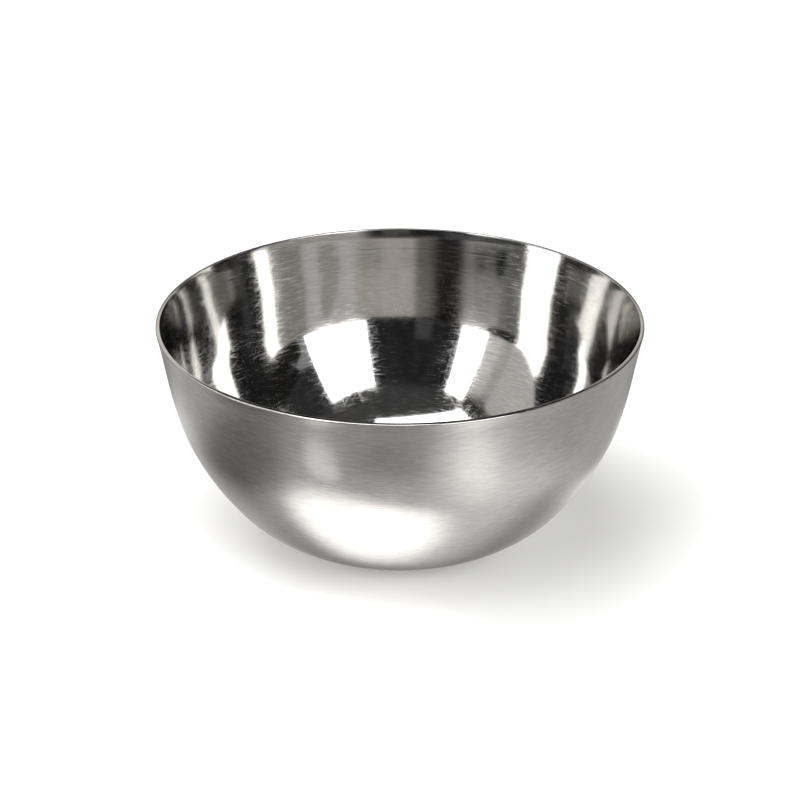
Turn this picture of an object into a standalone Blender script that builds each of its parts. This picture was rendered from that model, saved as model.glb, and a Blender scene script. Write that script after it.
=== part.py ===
"""Shaving bowl, spun from one disc of stainless steel sheet.

Metres, +Z up. The origin is the centre of the flat underside, on the surface
the bowl stands on, and +Z is the axis the bowl was turned about.

The outer wall is one smooth run from the lip down to the flat foot: a faint
outward flare, a straight side, a shoulder and a knee where the wall turns in,
a long belly and a tighter heel. The inner wall is the same run, one sheet
thickness inwards, and half a circle joins the two at the lip.
"""

import math

import bmesh
import bpy

# Driving dimensions
RIM_RADIUS = 0.0600      # outermost edge of the lip
HEIGHT = 0.0562          # underside of the foot to the top of the lip
SHEET = 0.00102          # steel sheet

# Slope of the outer wall, in degrees from vertical, where one stretch meets the next
LIP_SLOPE = 14.3
SIDE_SLOPE = 10.6
SHOULDER_SLOPE = 15.7
KNEE_SLOPE = 23.9
BELLY_SLOPE = 40.4
FOOT_SLOPE = 90.0

# Radii of the outer wall's arcs; the flare bends the other way from the rest
FLARE_RADIUS = -0.0440
SHOULDER_RADIUS = 0.1096
KNEE_RADIUS = 0.0397
BELLY_RADIUS = 0.0688
HEEL_RADIUS = 0.0328

# Facets along each stretch, and steps round the axis
FLARE_PIECES = 2
SIDE_PIECES = 2
SHOULDER_PIECES = 2
KNEE_PIECES = 2
BELLY_PIECES = 5
HEEL_PIECES = 9
LIP_PIECES = 6
FOOT_RINGS = 2
STEPS = 72

STEEL_COLOUR = (0.62, 0.61, 0.59, 1.0)
STEEL_ROUGHNESS = 0.16


def normal(slope):
    """Outward normal, as (r, z), of a wall that leans in by this many degrees."""
    angle = math.radians(slope)
    return math.cos(angle), -math.sin(angle)


def arcs():
    """The outer wall's arcs from the lip down: start slope, end slope, radius, pieces."""
    return [
        (LIP_SLOPE, SIDE_SLOPE, FLARE_RADIUS, FLARE_PIECES),
        (SIDE_SLOPE, SHOULDER_SLOPE, SHOULDER_RADIUS, SHOULDER_PIECES),
        (SHOULDER_SLOPE, KNEE_SLOPE, KNEE_RADIUS, KNEE_PIECES),
        (KNEE_SLOPE, BELLY_SLOPE, BELLY_RADIUS, BELLY_PIECES),
        (BELLY_SLOPE, FOOT_SLOPE, HEEL_RADIUS, HEEL_PIECES),
    ]


def side_length():
    """Length of the straight side that makes the whole wall as tall as HEIGHT."""
    drop = SHEET / 2 * (1 + math.sin(math.radians(LIP_SLOPE)))
    for start, end, radius, _ in arcs():
        drop += radius * (math.sin(math.radians(end)) - math.sin(math.radians(start)))
    return (HEIGHT - drop) / math.cos(math.radians(SIDE_SLOPE))


def lip_centre():
    """Centre of the lip's half circle, in the middle of the sheet."""
    return RIM_RADIUS - SHEET / 2, HEIGHT - SHEET / 2


def wall(inset):
    """Points (r, z) from the lip to the foot, inset from the outer surface."""
    nr, nz = normal(LIP_SLOPE)
    middle_r, middle_z = lip_centre()
    r = middle_r + SHEET / 2 * nr
    z = middle_z + SHEET / 2 * nz
    points = [(r - inset * nr, z - inset * nz)]
    for start, end, radius, pieces in arcs():
        nr, nz = normal(start)
        if start == SIDE_SLOPE:
            for _ in range(SIDE_PIECES):
                r += nz * side_length() / SIDE_PIECES
                z -= nr * side_length() / SIDE_PIECES
                points.append((r - inset * nr, z - inset * nz))
        centre_r = r - radius * nr
        centre_z = z - radius * nz
        for i in range(1, pieces + 1):
            nr, nz = normal(start + (end - start) * i / pieces)
            points.append((centre_r + (radius - inset) * nr,
                           centre_z + (radius - inset) * nz))
        r = centre_r + radius * nr
        z = centre_z + radius * nz
    return points


def lip():
    """Points over the lip, from the inner wall to the outer one, ends left out."""
    middle_r, middle_z = lip_centre()
    points = []
    for i in range(1, LIP_PIECES):
        angle = math.radians(-LIP_SLOPE) + math.pi * (LIP_PIECES - i) / LIP_PIECES
        points.append((middle_r + SHEET / 2 * math.cos(angle),
                       middle_z + SHEET / 2 * math.sin(angle)))
    return points


def foot(last_r, z):
    """Rings across the flat foot, from its edge to the axis, the edge left out."""
    return [(last_r * (FOOT_RINGS - i) / FOOT_RINGS, z)
            for i in range(1, FOOT_RINGS + 1)]


def profile():
    """Axis, up the inner wall, over the lip, down the outer wall, axis."""
    outer = wall(0.0)
    inner = wall(SHEET)
    outer += foot(*outer[-1])
    inner += foot(*inner[-1])
    return inner[::-1] + lip() + outer


def steel():
    material = bpy.data.materials.new("polished_steel")
    material.use_nodes = True
    shader = material.node_tree.nodes["Principled BSDF"]
    shader.inputs["Base Color"].default_value = STEEL_COLOUR
    shader.inputs["Metallic"].default_value = 1.0
    shader.inputs["Roughness"].default_value = STEEL_ROUGHNESS
    return material


def turned(name, points, collection):
    """A closed profile in the XZ plane, turned once round the Z axis."""
    mesh = bpy.data.meshes.new(name)
    shape = bmesh.new()
    verts = [shape.verts.new((r, 0.0, z)) for r, z in points]
    for first, second in zip(verts, verts[1:]):
        shape.edges.new((first, second))
    shape.to_mesh(mesh)
    shape.free()
    piece = bpy.data.objects.new(name, mesh)
    collection.objects.link(piece)
    screw = piece.modifiers.new("Screw", "SCREW")
    screw.axis = "Z"
    screw.angle = math.tau
    screw.steps = STEPS
    screw.render_steps = STEPS
    screw.use_merge_vertices = True
    screw.merge_threshold = 0.00001
    screw.use_smooth_shade = True
    return piece


for old in list(bpy.data.objects):
    bpy.data.objects.remove(old, do_unlink=True)

bowl_parts = bpy.data.collections.new("shaving_bowl")
bpy.context.scene.collection.children.link(bowl_parts)

bowl = turned("bowl", profile(), bowl_parts)
bowl.data.materials.append(steel())
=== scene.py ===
"""Looks of the spun steel shaving bowl: its fine turned mesh, polish marks and studio."""

import math

import bmesh
import bpy
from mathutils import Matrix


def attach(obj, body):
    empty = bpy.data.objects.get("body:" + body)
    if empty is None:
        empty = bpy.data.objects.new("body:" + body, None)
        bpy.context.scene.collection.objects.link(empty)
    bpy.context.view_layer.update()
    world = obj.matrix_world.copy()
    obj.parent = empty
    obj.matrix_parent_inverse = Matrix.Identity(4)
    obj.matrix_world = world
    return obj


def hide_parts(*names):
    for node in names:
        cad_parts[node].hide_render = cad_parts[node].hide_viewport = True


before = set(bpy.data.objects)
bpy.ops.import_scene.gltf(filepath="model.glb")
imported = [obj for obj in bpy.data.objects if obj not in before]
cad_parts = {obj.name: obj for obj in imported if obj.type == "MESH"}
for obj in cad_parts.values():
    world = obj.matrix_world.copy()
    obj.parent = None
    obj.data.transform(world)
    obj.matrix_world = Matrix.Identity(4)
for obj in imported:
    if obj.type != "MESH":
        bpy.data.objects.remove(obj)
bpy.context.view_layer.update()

# ---------------------------------------------------------------- the bowl's shape
# The same run of arcs as the CAD solid, cut much finer. Metres and degrees.
RIM_RADIUS = 0.0600
HEIGHT = 0.0562
SHEET = 0.00102
LIP_SLOPE = 14.3
SIDE_SLOPE = 10.6
SHOULDER_SLOPE = 15.7
KNEE_SLOPE = 23.9
BELLY_SLOPE = 40.4
FOOT_SLOPE = 90.0
FLARE_RADIUS = -0.0440
SHOULDER_RADIUS = 0.1096
KNEE_RADIUS = 0.0397
BELLY_RADIUS = 0.0688
HEEL_RADIUS = 0.0328

FLARE_PIECES = 12
SIDE_PIECES = 16
SHOULDER_PIECES = 14
KNEE_PIECES = 12
BELLY_PIECES = 26
HEEL_PIECES = 48
CORNER_PIECES = 8
FOOT_RINGS = 12
STEPS = 360               # flats round the axis

TRIM = 0.00009            # the wall stands this far in, so the lip's corner keeps the rim
CUT_SLOPE = 9.5           # the trimmed top falls outwards by this many degrees
INNER_CORNER = 0.00008    # radius of the lip's inner corner
OUTER_CORNER = 0.00026    # radius of the lip's outer corner
CREASE_BELOW = 0.0054     # a faint turned line inside, this far below the lip
CREASE_DEPTH = 0.000005
CREASE_WIDTH = 0.00025

INSIDE, LIP, OUTSIDE = 0, 1, 2      # the bowl's three materials, in order


def normal(slope):
    """Outward normal of a wall that leans outwards by slope degrees."""
    angle = math.radians(slope)
    return math.cos(angle), -math.sin(angle)


def arcs():
    """Slope at the start and end of each arc from the lip down, its radius and pieces."""
    return [
        (LIP_SLOPE, SIDE_SLOPE, FLARE_RADIUS, FLARE_PIECES),
        (SIDE_SLOPE, SHOULDER_SLOPE, SHOULDER_RADIUS, SHOULDER_PIECES),
        (SHOULDER_SLOPE, KNEE_SLOPE, KNEE_RADIUS, KNEE_PIECES),
        (KNEE_SLOPE, BELLY_SLOPE, BELLY_RADIUS, BELLY_PIECES),
        (BELLY_SLOPE, FOOT_SLOPE, HEEL_RADIUS, HEEL_PIECES),
    ]


def side_length():
    """Length of the straight side, whatever the arcs leave of the height."""
    drop = SHEET / 2 * (1 + math.sin(math.radians(LIP_SLOPE)))
    for start, end, radius, _ in arcs():
        drop += radius * (math.sin(math.radians(end)) - math.sin(math.radians(start)))
    return (HEIGHT - drop) / math.cos(math.radians(SIDE_SLOPE))


def wall(inset):
    """Points (radius, height) from the lip down to the foot, inset from the outer face."""
    middle_r, middle_z = RIM_RADIUS - TRIM - SHEET / 2, HEIGHT - SHEET / 2
    nr, nz = normal(LIP_SLOPE)
    r = middle_r + SHEET / 2 * nr
    z = middle_z + SHEET / 2 * nz
    points = [(r - inset * nr, z - inset * nz)]
    for start, end, radius, pieces in arcs():
        nr, nz = normal(start)
        if start == SIDE_SLOPE:
            for _ in range(SIDE_PIECES):
                r += nz * side_length() / SIDE_PIECES
                z -= nr * side_length() / SIDE_PIECES
                points.append((r - inset * nr, z - inset * nz))
        centre_r = r - radius * nr
        centre_z = z - radius * nz
        for i in range(1, pieces + 1):
            nr, nz = normal(start + (end - start) * i / pieces)
            points.append((centre_r + (radius - inset) * nr,
                           centre_z + (radius - inset) * nz))
        r = centre_r + radius * nr
        z = centre_z + radius * nz
    return points


def lip(inner_top, outer_top):
    """Trimmed top between two small corners, from the inner wall outwards."""
    nr, nz = normal(LIP_SLOPE)
    cut_r, cut_z = math.sin(math.radians(CUT_SLOPE)), math.cos(math.radians(CUT_SLOPE))
    peak_r = inner_top[0] - (HEIGHT - inner_top[1]) * nz / nr
    points = []
    for (r, z), radius, side, start, end in (
            (inner_top, INNER_CORNER, 1, 180.0 - LIP_SLOPE, 90.0 - CUT_SLOPE),
            (outer_top, OUTER_CORNER, -1, 90.0 - CUT_SLOPE, -LIP_SLOPE)):
        r += side * radius * nr
        z += side * radius * nz
        below = (peak_r - r) * cut_r + (HEIGHT - z) * cut_z - radius
        climb = below / (nr * cut_z - nz * cut_r)
        r -= climb * nz
        z += climb * nr
        for i in range(CORNER_PIECES + 1):
            angle = math.radians(start + (end - start) * i / CORNER_PIECES)
            points.append((r + radius * math.cos(angle), z + radius * math.sin(angle)))
    return points


def foot(last_r, z):
    """Flat middle, from the last ring in to the axis."""
    return [(last_r * (FOOT_RINGS - i) / FOOT_RINGS, z)
            for i in range(1, FOOT_RINGS + 1)]


def build_bowl():
    """Turned mesh with a UV map: U once round, V metres along the profile."""
    outer = wall(0.0)
    inner = wall(SHEET)
    edge = lip(inner[0], outer[0])
    outer += foot(*outer[-1])
    inner += foot(*inner[-1])
    points = inner[::-1] + edge + outer
    sides = [INSIDE] * len(inner) + [LIP] * len(edge) + [OUTSIDE] * len(outer)
    along = [0.0]
    for (r0, z0), (r1, z1) in zip(points, points[1:]):
        along.append(along[-1] + math.hypot(r1 - r0, z1 - z0))
    mesh = bpy.data.meshes.new("bowl_steel")
    shape = bmesh.new()
    uv = shape.loops.layers.uv.new("turned")
    rings = []
    last = len(points) - 1
    for k, (r, z) in enumerate(points):
        if k in (0, last):
            rings.append([shape.verts.new((0.0, 0.0, z))])
            continue
        rings.append([shape.verts.new((r * math.cos(math.tau * j / STEPS),
                                       r * math.sin(math.tau * j / STEPS), z))
                      for j in range(STEPS)])
    for k in range(last):
        a, b = rings[k], rings[k + 1]
        for j in range(STEPS):
            n = (j + 1) % STEPS
            if len(a) == 1:
                corners = [(a[0], j + 0.5, k), (b[n], j + 1, k + 1), (b[j], j, k + 1)]
            elif len(b) == 1:
                corners = [(a[j], j, k), (a[n], j + 1, k), (b[0], j + 0.5, k + 1)]
            else:
                corners = [(a[j], j, k), (a[n], j + 1, k),
                           (b[n], j + 1, k + 1), (b[j], j, k + 1)]
            face = shape.faces.new([corner[0] for corner in corners])
            face.smooth = True
            face.material_index = max(sides[k], sides[k + 1])
            for loop, (_, u, v) in zip(face.loops, corners):
                loop[uv].uv = (u / STEPS, along[v])
    bmesh.ops.recalc_face_normals(shape, faces=shape.faces)
    shape.to_mesh(mesh)
    shape.free()
    piece = bpy.data.objects.new("bowl_steel", mesh)
    bpy.context.scene.collection.objects.link(piece)
    return piece, along[-1]


# ---------------------------------------------------------------- steel
STEEL = (0.585, 0.575, 0.56)
TINT_SHARES = (0.89, 1.09)      # how far the tint wanders round the steel's colour
TINT_BAND = (0.32, 0.68)        # bands are where in a noise a mark starts and is full
CLOUD_IN_TINT = 0.4             # the rest of the tint follows the fine turning lines
CLOUD_BAND = (0.3, 0.7)
CLOUD_ROUGHNESS = (0.85, 1.2)   # shares of a face's roughness

AXIS_GUARD = 1e-6         # metres added to the radius, so nothing divides by zero
TURNING_PITCH = 0.00030   # metres between the fine turning lines
TURNING_SPREAD = 18.0     # a higher spread makes shorter lines
BROAD_PITCH = 0.0016
BROAD_SPREAD = 5.0
BROAD_SHARE = 0.8         # height of the broad lines against the fine ones
BRUSHED_BAND = (0.5, 0.72)

GRAIN_SCALE = 3600.0      # noise cells to the metre: grain, clouds, scratched places
CLOUD_SCALE = 70.0
PATCH_SCALE = 45.0
WANDER_SCALE = 28.0
WANDER_REACH = 0.006      # metres a scratch strays from a straight line

# Hairline scratches: the way each family runs in degrees, and how many to the metre
HAIRS = [(28.0, 3400.0), (66.0, 3900.0), (118.0, 3100.0)]
HAIR_STRETCH = 0.022      # a scratch's width over its length
HAIR_SHIFT = (0.01, 0.0001)     # sets the families apart, so they don't share a pattern
HAIR_BAND = (0.52, 0.78)
PATCH_BAND = (0.35, 0.65)
PATCH_LEAST = 0.35        # how much of the scratches the cleanest places keep

EDGE_GRAIN_SCALE = 2400.0
EDGE_GRAIN_BAND = (0.3, 0.7)
EDGE_ROUGHNESS = (0.10, 0.16)
EDGE_WEAR_SCALE = 130.0
EDGE_WEAR_BAND = (0.5, 0.7)
EDGE_WEAR = 0.06          # roughness that the worn places add
EDGE_TINT_BAND = (0.35, 0.65)
EDGE_SHARES = (0.88, 1.0)


class Nodes:
    """Short calls for wiring a node tree."""

    def __init__(self, tree):
        self.tree = tree

    def add(self, kind, **values):
        node = self.tree.nodes.new(kind)
        for key, value in values.items():
            setattr(node, key, value)
        return node

    def put(self, socket, value):
        if hasattr(value, "is_output"):
            self.tree.links.new(value, socket)
        else:
            socket.default_value = value

    def math(self, operation, *values):
        node = self.add("ShaderNodeMath", operation=operation)
        for socket, value in zip(node.inputs, values):
            self.put(socket, value)
        return node.outputs[0]

    def combine(self, x, y, z):
        node = self.add("ShaderNodeCombineXYZ")
        for socket, value in zip(node.inputs, (x, y, z)):
            self.put(socket, value)
        return node.outputs[0]

    def noise(self, vector, scale=1.0, detail=2.0):
        node = self.add("ShaderNodeTexNoise")
        self.put(node.inputs["Vector"], vector)
        node.inputs["Scale"].default_value = scale
        node.inputs["Detail"].default_value = detail
        return node.outputs["Fac"]

    def ramp(self, value, low, high, to_low=0.0, to_high=1.0):
        node = self.add("ShaderNodeMapRange", interpolation_type="SMOOTHSTEP")
        for name, v in (("Value", value), ("From Min", low), ("From Max", high),
                        ("To Min", to_low), ("To Max", to_high)):
            self.put(node.inputs[name], v)
        return node.outputs[0]


def steel_material(name):
    """New metal material with its node tree and shader."""
    material = bpy.data.materials.new(name)
    material.use_nodes = True
    shader = material.node_tree.nodes["Principled BSDF"]
    shader.inputs["Metallic"].default_value = 1.0
    return material, Nodes(material.node_tree), shader


def tint_steel(n, shader, factor, shares):
    """Base colour that runs between two shares of the steel's own colour."""
    low, high = shares
    tint = n.add("ShaderNodeMix", data_type="RGBA")
    n.put(tint.inputs["Factor"], factor)
    tint.inputs["A"].default_value = (*[c * low for c in STEEL], 1.0)
    tint.inputs["B"].default_value = (*[c * high for c in STEEL], 1.0)
    n.put(shader.inputs["Base Color"], tint.outputs["Result"])


def turning_lines(n, cos, sin, along, spread, pitch):
    """Noise drawn out round the axis, as a lathe or a buffing wheel leaves it."""
    ring = n.combine(n.math("MULTIPLY", cos, spread), n.math("MULTIPLY", sin, spread),
                     n.math("DIVIDE", along, pitch))
    return n.noise(ring, detail=1.0)


def hairlines(n, metres, cos, sin, out):
    """Crossing scratches, drawn on the face rolled out flat round its middle."""
    wander = n.math("MULTIPLY", n.noise(metres, scale=WANDER_SCALE, detail=1.0), WANDER_REACH)
    disc = n.combine(n.math("ADD", n.math("MULTIPLY", cos, out), wander),
                     n.math("ADD", n.math("MULTIPLY", sin, out), wander), 0.0)
    shift_x, shift_y = HAIR_SHIFT
    scratches = None
    for turn, scale in HAIRS:
        mapping = n.add("ShaderNodeMapping", vector_type="TEXTURE")
        n.put(mapping.inputs["Vector"], disc)
        mapping.inputs["Rotation"].default_value = (0.0, 0.0, math.radians(turn))
        mapping.inputs["Scale"].default_value = (1.0 / (scale * HAIR_STRETCH), 1.0 / scale, 1.0)
        mapping.inputs["Location"].default_value = (turn * shift_x, scale * shift_y, 0.0)
        line = n.ramp(n.noise(mapping.outputs[0], detail=0.0), *HAIR_BAND)
        scratches = line if scratches is None else n.math("MAXIMUM", scratches, line)
    patches = n.noise(metres, scale=PATCH_SCALE, detail=1.0)
    return n.math("MULTIPLY", scratches, n.ramp(patches, *PATCH_BAND, PATCH_LEAST, 1.0))


def crease_depth(n, z):
    """Depth of the turned line at this height."""
    off = n.math("DIVIDE", n.math("SUBTRACT", z, HEIGHT - CREASE_BELOW), CREASE_WIDTH)
    groove = n.math("EXPONENT", n.math("MULTIPLY", n.math("MULTIPLY", off, off), -1.0))
    return n.math("MULTIPLY", groove, CREASE_DEPTH)


def steel(name, roughness, line_height, grain_height, hair, brushed, reach=0.0, crease=False):
    """Polished stainless steel: short turning lines round the axis, crossing hairline
    scratches, a fine grain left by the buffing and cloudy patches in the polish.
    Heights are in metres; hair and brushed are the roughness that marks add. `reach` is
    the whole profile's length for the face that V ends on, and 0 for the one it starts on.
    """
    material, n, shader = steel_material(name)
    place = n.add("ShaderNodeTexCoord")
    metres = place.outputs["Object"]
    xyz = n.add("ShaderNodeSeparateXYZ")
    n.put(xyz.inputs[0], metres)
    x, y, z = xyz.outputs
    uv = n.add("ShaderNodeSeparateXYZ")
    n.put(uv.inputs[0], place.outputs["UV"])
    along = uv.outputs[1]
    out = n.math("SUBTRACT", reach, along) if reach else along
    radius = n.math("SQRT", n.math("ADD", n.math("MULTIPLY", x, x), n.math("MULTIPLY", y, y)))
    radius = n.math("ADD", radius, AXIS_GUARD)
    cos = n.math("DIVIDE", x, radius)
    sin = n.math("DIVIDE", y, radius)

    fine = turning_lines(n, cos, sin, along, TURNING_SPREAD, TURNING_PITCH)
    broad = turning_lines(n, cos, sin, along, BROAD_SPREAD, BROAD_PITCH)
    grain = n.noise(metres, scale=GRAIN_SCALE, detail=1.0)
    cloud = n.noise(metres, scale=CLOUD_SCALE, detail=3.0)
    scratches = hairlines(n, metres, cos, sin, out)

    height = n.math("ADD", n.math("MULTIPLY", fine, line_height),
                    n.math("MULTIPLY", grain, grain_height))
    height = n.math("ADD", height, n.math("MULTIPLY", broad, line_height * BROAD_SHARE))
    if crease:
        height = n.math("SUBTRACT", height, crease_depth(n, z))
    bump = n.add("ShaderNodeBump")
    bump.inputs["Strength"].default_value = 1.0
    bump.inputs["Distance"].default_value = 1.0
    n.put(bump.inputs["Height"], height)
    n.put(shader.inputs["Normal"], bump.outputs[0])

    rough = n.ramp(cloud, *CLOUD_BAND, *[roughness * share for share in CLOUD_ROUGHNESS])
    rough = n.math("ADD", rough, n.math("MULTIPLY", scratches, hair))
    rough = n.math("ADD", rough, n.math("MULTIPLY", n.ramp(fine, *BRUSHED_BAND), brushed))
    n.put(shader.inputs["Roughness"], rough)

    shade = n.math("ADD", n.math("MULTIPLY", cloud, CLOUD_IN_TINT),
                   n.math("MULTIPLY", fine, 1.0 - CLOUD_IN_TINT))
    tint_steel(n, shader, n.ramp(shade, *TINT_BAND), TINT_SHARES)
    return material


def cut_edge(name):
    """The trimmed and deburred top of the sheet, a little duller than the wall."""
    material, n, shader = steel_material(name)
    metres = n.add("ShaderNodeTexCoord").outputs["Object"]
    grain = n.noise(metres, scale=EDGE_GRAIN_SCALE)
    wear = n.noise(metres, scale=EDGE_WEAR_SCALE)
    rough = n.ramp(grain, *EDGE_GRAIN_BAND, *EDGE_ROUGHNESS)
    rough = n.math("ADD", rough, n.ramp(wear, *EDGE_WEAR_BAND, 0.0, EDGE_WEAR))
    n.put(shader.inputs["Roughness"], rough)
    tint_steel(n, shader, n.ramp(wear, *EDGE_TINT_BAND), EDGE_SHARES)
    return material


bowl, profile_length = build_bowl()
bowl.data.materials.append(steel("steel_inside", roughness=0.055, line_height=0.24e-6,
                                 grain_height=0.12e-6, hair=0.085, brushed=0.07,
                                 crease=True))
bowl.data.materials.append(cut_edge("steel_lip"))
bowl.data.materials.append(steel("steel_outside", roughness=0.12, line_height=0.40e-6,
                                 grain_height=0.12e-6, hair=0.08, brushed=0.05,
                                 reach=profile_length))
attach(bowl, "root")
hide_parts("bowl")

# ---------------------------------------------------------------- floor
FLOOR_REACH = 6.0
FLOOR_COLOUR = (0.90, 0.90, 0.895, 1.0)
FLOOR_ROUGHNESS = 0.6
FLOOR_GLOW = 0.12         # keeps the bowl's shadow pale


def flat_sheet(name, size, height):
    """Level square sheet, `size` metres from its middle to each side."""
    mesh = bpy.data.meshes.new(name)
    shape = bmesh.new()
    bmesh.ops.create_grid(shape, x_segments=2, y_segments=2, size=size)
    bmesh.ops.translate(shape, verts=shape.verts, vec=(0.0, 0.0, height))
    shape.to_mesh(mesh)
    shape.free()
    sheet = bpy.data.objects.new(name, mesh)
    bpy.context.scene.collection.objects.link(sheet)
    return sheet


def pale_floor():
    """The floor the camera sees. The steel doesn't see it: it sees the painted table reflection
    instead.
    """
    sheet = flat_sheet("floor", FLOOR_REACH, 0.0)
    material = bpy.data.materials.new("pale_floor")
    material.use_nodes = True
    shader = material.node_tree.nodes["Principled BSDF"]
    shader.inputs["Base Color"].default_value = FLOOR_COLOUR
    shader.inputs["Roughness"].default_value = FLOOR_ROUGHNESS
    shader.inputs["Emission Color"].default_value = (1.0, 1.0, 1.0, 1.0)
    shader.inputs["Emission Strength"].default_value = FLOOR_GLOW
    sheet.data.materials.append(material)
    sheet.visible_glossy = False
    return sheet


def only_in_steel(sheet, colour):
    """Give the sheet a glow that only reflections see; returns its nodes and strength."""
    material = bpy.data.materials.new(sheet.name)
    material.use_nodes = True
    material.node_tree.nodes.clear()
    n = Nodes(material.node_tree)
    glow = n.add("ShaderNodeEmission")
    glow.inputs["Color"].default_value = (*colour, 1.0)
    out = n.add("ShaderNodeOutputMaterial")
    n.put(out.inputs["Surface"], glow.outputs[0])
    sheet.data.materials.append(material)
    sheet.visible_camera = False
    sheet.visible_diffuse = False
    sheet.visible_shadow = False
    return n, glow.inputs["Strength"]


floor = pale_floor()

# What the steel sees of the floor: a glowing sheet that only reflections see, painted with
# light and shade round the foot, a painted reflection of the lit table. Millimetres from the
# axis, +Y away from the camera: middle x, middle y, half width x, half width y, sharpness of
# the edge, added brightness (painted light above 0, painted shade below 0).
TABLE_REACH = 0.60
TABLE_HEIGHT = 0.00002    # metres above the floor, so the two don't coincide
TABLE_COLOUR = (1.0, 0.985, 0.965)
# glow of the painted table reflection where no patch lies
PAINTED_TABLE_GLOW = 0.49
PATCH_FALL = 0.7          # how soon a patch fades past its half width
PAINTED_TABLE_PATCHES = [
    (-16.0, -56.0, 27.5, 15.8, 3, 1.25),
    (2.0, -52.0, 40.0, 22.0, 1, 0.36),
    (44.0, -83.0, 17.0, 22.0, 1, 0.82),
    (66.0, -45.0, 14.0, 26.0, 1, 0.20),
    (-80.0, -34.0, 24.0, 36.0, 2, -0.33),
    (-47.0, -83.0, 11.0, 7.0, 3, 0.45),
    (-8.0, -101.0, 32.0, 9.0, 1, -0.20),
    (44.0, -22.0, 14.0, 9.0, 1, -0.08),
    (2.0, -29.0, 34.0, 8.0, 1, -0.40),
    (54.0, 6.0, 7.0, 15.0, 1, 0.35),
    (-85.0, 38.0, 14.0, 26.0, 1, 0.28),
    (62.0, 48.0, 12.0, 14.0, 1, 0.40),
    (-60.0, 50.0, 12.0, 14.0, 1, 0.50),
    (18.0, 62.0, 27.0, 14.0, 2, 0.90),
    (-36.0, 84.0, 16.0, 20.0, 1, 0.60),
    (72.0, 76.0, 24.0, 24.0, 1, -0.22),
    (-82.0, 74.0, 22.0, 22.0, 1, -0.26),
    (4.0, 100.0, 30.0, 10.0, 1, -0.18),
    (0.0, 30.0, 34.0, 8.0, 1, -0.35),
]


def painted_table_reflection():
    """A painted reflection of the lit table: a glowing sheet that only the steel sees, with
    painted light and shade.
    """
    sheet = flat_sheet("painted_table_reflection", TABLE_REACH, TABLE_HEIGHT)
    n, strength = only_in_steel(sheet, TABLE_COLOUR)
    xyz = n.add("ShaderNodeSeparateXYZ")
    n.put(xyz.inputs[0], n.add("ShaderNodeTexCoord").outputs["Object"])
    level = PAINTED_TABLE_GLOW
    # each patch paints light into the sheet's glow, or paints shade where its brightness is below
    # 0
    for x, y, wide, deep, edge, bright in PAINTED_TABLE_PATCHES:
        across = n.math("DIVIDE", n.math("SUBTRACT", xyz.outputs[0], x / 1000), wide / 1000)
        away = n.math("DIVIDE", n.math("SUBTRACT", xyz.outputs[1], y / 1000), deep / 1000)
        square = n.math("ADD", n.math("MULTIPLY", across, across), n.math("MULTIPLY", away, away))
        square = n.math("POWER", n.math("MULTIPLY", square, PATCH_FALL), edge)
        glow = n.math("EXPONENT", n.math("MULTIPLY", square, -1.0))
        level = n.math("ADD", level, n.math("MULTIPLY", glow, bright))
    n.put(strength, level)
    sheet.visible_transmission = False
    return sheet


table = painted_table_reflection()

# Three small upright cards beside the bowl, seen only in the steel: painted dark and grey
# reflections that stand for things too near for the studio's far walls. Distance to the right
# and brightness, then the outline in millimetres (+Y, +Z)
CARD_COLOUR = (1.0, 0.98, 0.95)
PAINTED_REFLECTION_CARDS = [
    ("black_card", 76.0, 0.01, [(10, 58), (46, 54), (46, 80), (14, 84), (-12, 84), (-4, 74)]),
    ("dark_card", 150.0, 0.015, [(10, 70), (10, 96), (-20, 101), (-34, 106), (-46, 115),
                                 (-63, 111), (-66, 98), (-60, 80), (-30, 72)]),
    ("grey_card", -76.0, 0.64, [(-6, 66), (2, 60), (40, 62), (40, 82), (27, 92), (14, 103),
                                (2, 110), (-6, 110)]),
]


def card(name, x, bright, outline):
    """One upright card that only the steel sees: a painted reflection."""
    mesh = bpy.data.meshes.new(name)
    mesh.from_pydata([(x / 1000, y / 1000, z / 1000) for y, z in outline], [],
                     [tuple(range(len(outline)))])
    sheet = bpy.data.objects.new(name, mesh)
    bpy.context.scene.collection.objects.link(sheet)
    # painted reflection: a glow that only the steel sees, casting no shadow and lighting nothing
    _, strength = only_in_steel(sheet, CARD_COLOUR)
    strength.default_value = bright
    return sheet


[card(*values) for values in PAINTED_REFLECTION_CARDS]

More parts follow.
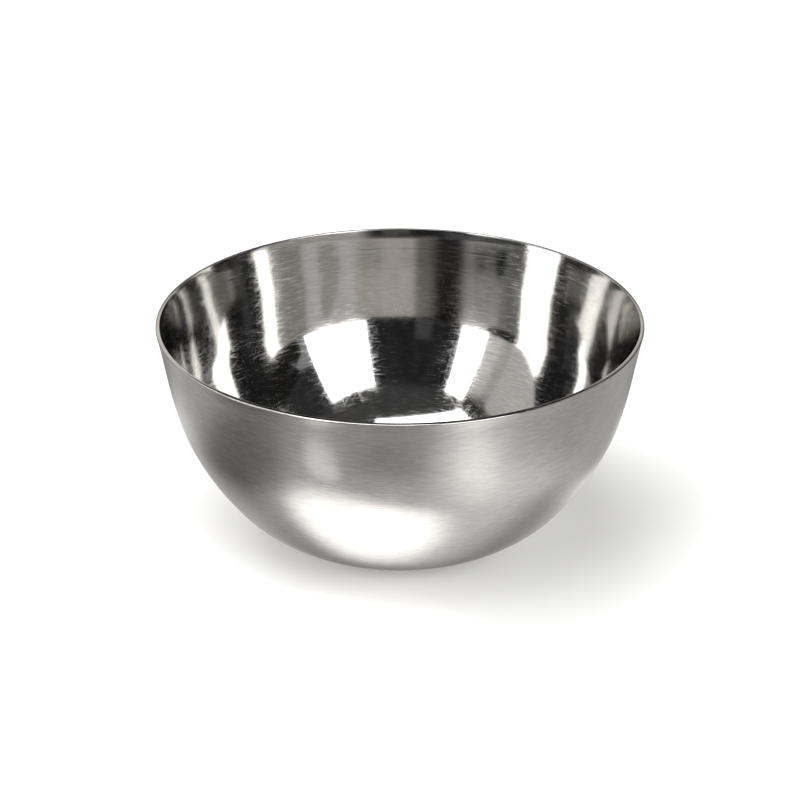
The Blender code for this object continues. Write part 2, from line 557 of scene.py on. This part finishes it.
# ---------------------------------------------------------------- studio
# Everything round the bowl, as directions: azimuth 0 is towards the camera and
# positive to its right, elevation is above the horizon, in degrees.
BASE = (0.018, 0.018, 0.020)
WALLS = [
    # azimuth middle, half width, elevation low, high, edge softness, colour, strength
    (0.0, 180.0, 46.0, 95.0, 3.0, (1.0, 1.0, 1.0), 0.06),        # ceiling
    (156.0, 18.0, 18.0, 33.0, 4.0, (1.00, 0.96, 0.91), 0.36),   # behind the bowl
    (-160.0, 22.0, 18.0, 33.0, 4.0, (1.00, 0.96, 0.90), 0.84),
    (-178.0, 17.0, 18.0, 33.0, 4.0, (1.00, 0.96, 0.90), 0.94),
    (-110.0, 30.0, 9.0, 46.0, 8.0, (1.00, 1.00, 1.00), 1.05),   # left
    (-116.0, 26.0, 31.0, 46.0, 4.0, (1.00, 1.00, 1.00), 1.80),
    (-66.0, 17.0, -5.0, 41.0, 4.0, (1.00, 0.97, 0.93), 0.52),    # left panel
    (-54.0, 5.0, 9.0, 41.0, 3.0, (1.00, 0.98, 0.95), 0.75),
    (64.0, 13.0, -5.0, 40.0, 3.0, (0.95, 0.97, 1.00), 0.36),     # right
    (96.0, 22.0, 9.0, 46.0, 8.0, (0.97, 0.98, 1.00), 0.58),
    (82.0, 26.0, 11.0, 19.0, 3.0, (0.95, 0.97, 1.00), 0.24),
    (98.0, 19.0, 27.0, 46.0, 6.0, (0.99, 0.99, 1.00), 1.50),
    (69.0, 19.0, 27.5, 46.0, 1.5, (1.0, 1.0, 1.0), 0.03),
    (135.0, 12.0, 12.0, 37.0, 8.0, (1.0, 1.0, 1.0), 0.04),       # dark gap
    (134.0, 10.0, 23.0, 37.0, 3.0, (1.0, 1.0, 1.0), 0.01),
    (0.0, 19.0, -5.0, 2.5, 1.5, (1.0, 0.96, 0.9), 0.16),         # low band in front
    (2.0, 7.0, 4.0, 12.0, 2.0, (1.0, 0.97, 0.92), 0.10),
    (42.0, 25.0, -5.0, 9.5, 5.0, (1.0, 0.97, 0.92), 0.42),
    (-43.0, 22.0, -5.0, 7.0, 3.0, (0.95, 0.97, 1.0), 0.07),
    (-73.0, 8.5, -5.0, 8.0, 1.0, (1.0, 1.0, 1.0), 4.0),
    (71.0, 4.0, -5.0, 8.0, 1.5, (1.0, 1.0, 1.0), 0.9),
    (-13.0, 4.5, 9.0, 25.0, 1.5, (0.95, 0.97, 1.0), 0.08),
    (36.0, 17.6, 9.5, 45.5, 0.5, (1.0, 1.0, 1.0), 4.6),          # right softbox
    (-41.6, 7.6, 9.0, 45.5, 0.5, (1.0, 1.0, 1.0), 4.6),          # left softbox
]
# The overhead softbox, as a rectangle one unit above the bowl: middle x, y, half
# width, half depth, turn in degrees, strength
OVERHEAD = (-0.31, -0.03, 0.455, 0.45, 10.0, 4.2)
OVERHEAD_EDGE = 0.01      # softness of its edge
LOWEST_UP = 0.05          # keeps directions near the horizon off that rectangle


def wall_mask(n, azimuth, elevation, middle, half, low, high, soft):
    """1 inside a soft rectangle of directions, 0 outside it."""
    off = n.math("WRAP", n.math("SUBTRACT", azimuth, middle), 180.0, -180.0)
    mask = n.ramp(n.math("ABSOLUTE", off), half - soft, half + soft, 1.0, 0.0)
    mask = n.math("MULTIPLY", mask, n.ramp(elevation, low - soft, low + soft))
    return n.math("MULTIPLY", mask, n.ramp(elevation, high - soft, high + soft, 1.0, 0.0))


def overhead_mask(n, x, y, z):
    """1 in the directions of the overhead softbox, 0 elsewhere."""
    middle_x, middle_y, half_x, half_y, turn, _ = OVERHEAD
    up = n.math("MAXIMUM", z, LOWEST_UP)
    px = n.math("SUBTRACT", n.math("DIVIDE", x, up), middle_x)
    py = n.math("SUBTRACT", n.math("DIVIDE", y, up), middle_y)
    c, d = math.cos(math.radians(turn)), math.sin(math.radians(turn))
    across = n.math("ADD", n.math("MULTIPLY", px, c), n.math("MULTIPLY", py, d))
    away = n.math("SUBTRACT", n.math("MULTIPLY", py, c), n.math("MULTIPLY", px, d))
    masks = [n.ramp(n.math("ABSOLUTE", off), half - OVERHEAD_EDGE, half + OVERHEAD_EDGE, 1.0, 0.0)
             for off, half in ((across, half_x), (away, half_y))]
    return n.math("MULTIPLY", *masks)


def paint(n, under, mask, colour):
    """Lay a colour over another where the mask is 1."""
    mix = n.add("ShaderNodeMix", data_type="RGBA")
    n.put(mix.inputs["Factor"], mask)
    n.put(mix.inputs["A"], under)
    mix.inputs["B"].default_value = (*colour, 1.0)
    return mix.outputs["Result"]


def studio():
    """The world: every wall in turn, then the overhead softbox on top."""
    world = bpy.data.worlds.new("studio")
    bpy.context.scene.world = world
    world.use_nodes = True
    n = Nodes(world.node_tree)
    xyz = n.add("ShaderNodeSeparateXYZ")
    n.put(xyz.inputs[0], n.add("ShaderNodeTexCoord").outputs["Generated"])
    x, y, z = xyz.outputs
    azimuth = n.math("DEGREES", n.math("ARCTAN2", x, n.math("MULTIPLY", y, -1.0)))
    elevation = n.math("DEGREES", n.math("ARCSINE", z))
    colour = (*BASE, 1.0)
    for middle, half, low, high, soft, tint, strength in WALLS:
        mask = wall_mask(n, azimuth, elevation, middle, half, low, high, soft)
        colour = paint(n, colour, mask, [c * strength for c in tint])
    colour = paint(n, colour, overhead_mask(n, x, y, z), [OVERHEAD[-1]] * 3)
    background = world.node_tree.nodes["Background"]
    n.put(background.inputs["Color"], colour)
    background.inputs["Strength"].default_value = 1.0


studio()

# ---------------------------------------------------------------- camera
CAMERA_DISTANCE = 11.0 * RIM_RADIUS     # from the middle of the lip
CAMERA_ABOVE = 23.724                   # degrees above the lip's plane
CAMERA_PITCH = 25.432                   # degrees it looks down
CAMERA_FOCAL = 3.3525                   # focal length over the picture's width
SENSOR_WIDTH = 36.0


def place_camera():
    """Camera at the photo's angle, straight in front."""
    data = bpy.data.cameras.new("camera")
    camera = bpy.data.objects.new("camera", data)
    bpy.context.scene.collection.objects.link(camera)
    data.sensor_width = SENSOR_WIDTH
    data.lens = SENSOR_WIDTH * CAMERA_FOCAL
    data.clip_start = 0.01
    data.clip_end = 50.0
    above = math.radians(CAMERA_ABOVE)
    camera.location = (0.0, -CAMERA_DISTANCE * math.cos(above),
                       HEIGHT - SHEET / 2 + CAMERA_DISTANCE * math.sin(above))
    camera.rotation_euler = (math.radians(90.0 - CAMERA_PITCH), 0.0, 0.0)
    bpy.context.scene.camera = camera


place_camera()
scene = bpy.context.scene
scene.view_settings.view_transform = "Standard"
scene.cycles.max_bounces = 16           # light bounces many times inside the bowl
scene.cycles.glossy_bounces = 12
scene.cycles.blur_glossy = 0.0
